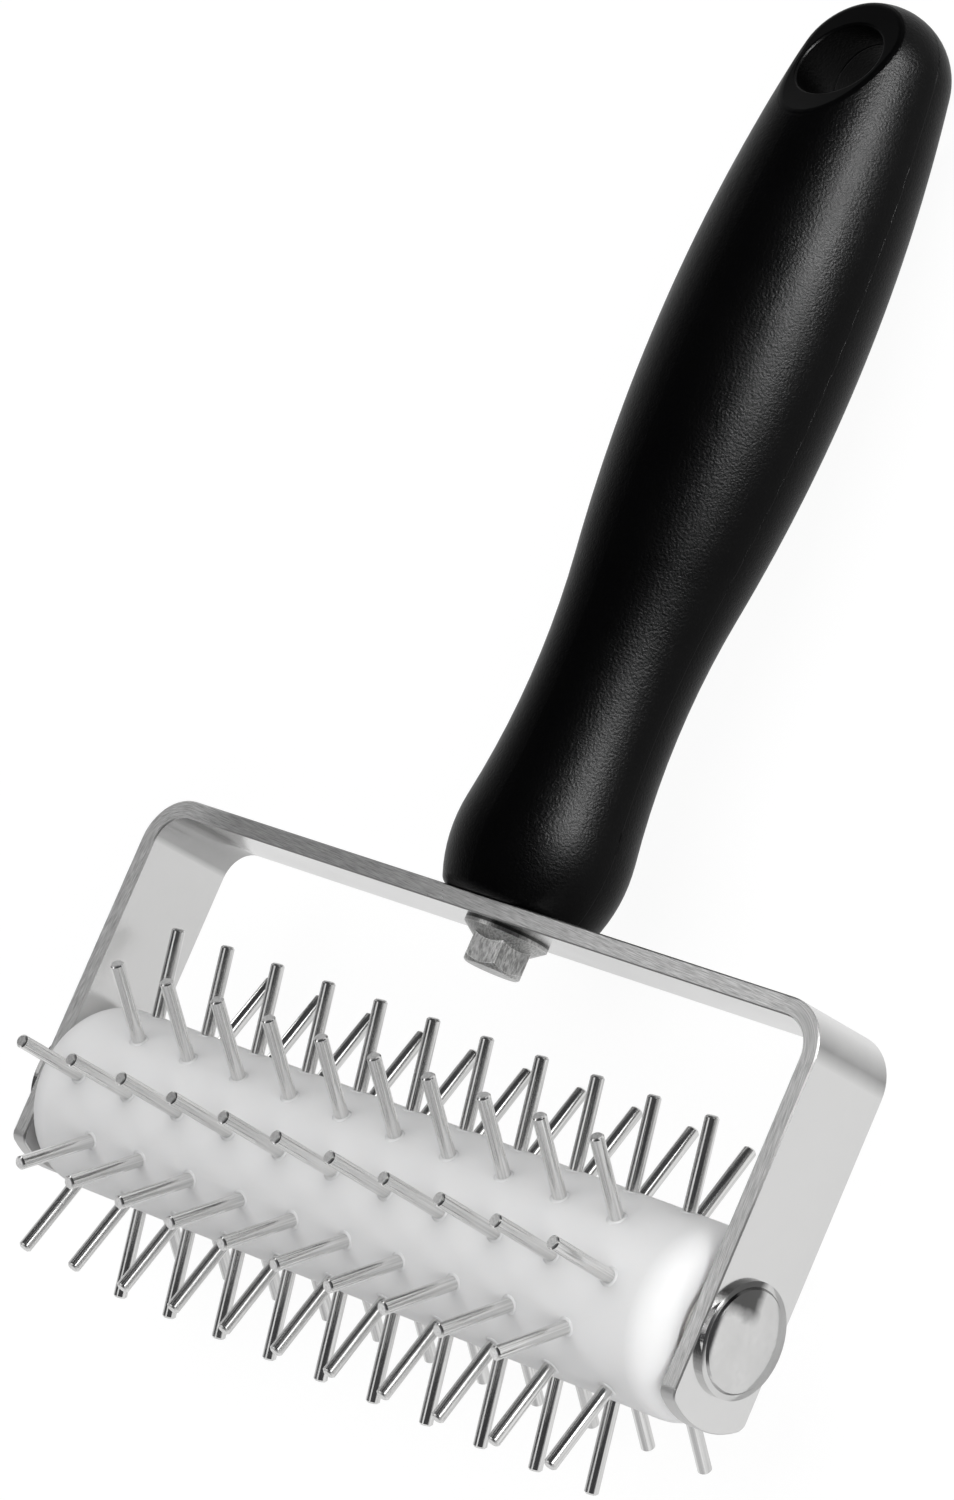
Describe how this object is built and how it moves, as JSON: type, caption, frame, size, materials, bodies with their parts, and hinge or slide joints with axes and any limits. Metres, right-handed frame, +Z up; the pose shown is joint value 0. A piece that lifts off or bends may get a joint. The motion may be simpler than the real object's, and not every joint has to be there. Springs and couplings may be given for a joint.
{
  "type": "dough docker",
  "caption": "Hand roller studded with steel pins that turns in a bent steel fork on a contoured moulded handle with a hanging hole.",
  "frame": {"origin": "on the table plane, below the middle of the object's box as it lies on its lowest row of pins and the belly of the handle", "axes": "+X along the axle, +Y from the roller towards the handle's end, +Z up from the table"},
  "size_m": [0.1282, 0.1988, 0.0503],
  "materials": {
    "handle_plastic": "black moulded polypropylene, fine pebbled satin texture",
    "insert_brass": "turned brass",
    "bolt_steel": "plain forged steel, dull",
    "fork_steel": "satin brushed stainless flat bar",
    "axle_steel": "drawn steel tube",
    "rivet_steel": "bright stainless",
    "washer_plastic": "natural nylon",
    "roller_plastic": "white polyethylene, slightly translucent, satin",
    "pin_steel": "bright drawn stainless wire"
  },
  "bodies": {
    "frame": {"handle": "handle_plastic", "handle_insert": "insert_brass", "handle_bolt": "bolt_steel", "fork": "fork_steel", "axle_tube": "axle_steel", "axle_rivet_left": "rivet_steel", "axle_rivet_right": "rivet_steel", "thrust_washer_left": "washer_plastic", "thrust_washer_right": "washer_plastic"},
    "roller": {"roller": "roller_plastic", "pin_row_01": "pin_steel", "pin_row_02": "pin_steel", "pin_row_03": "pin_steel", "pin_row_04": "pin_steel", "pin_row_05": "pin_steel", "pin_row_06": "pin_steel", "pin_row_07": "pin_steel", "pin_row_08": "pin_steel", "pin_row_09": "pin_steel", "pin_row_10": "pin_steel"}
  },
  "joints": [
    {"name": "roller_spin", "type": "hinge", "parent": "frame", "child": "roller", "pos_m": [0, -0.07439, 0.02515], "axis": [1, 0, 0], "continuous": true}
  ]
}
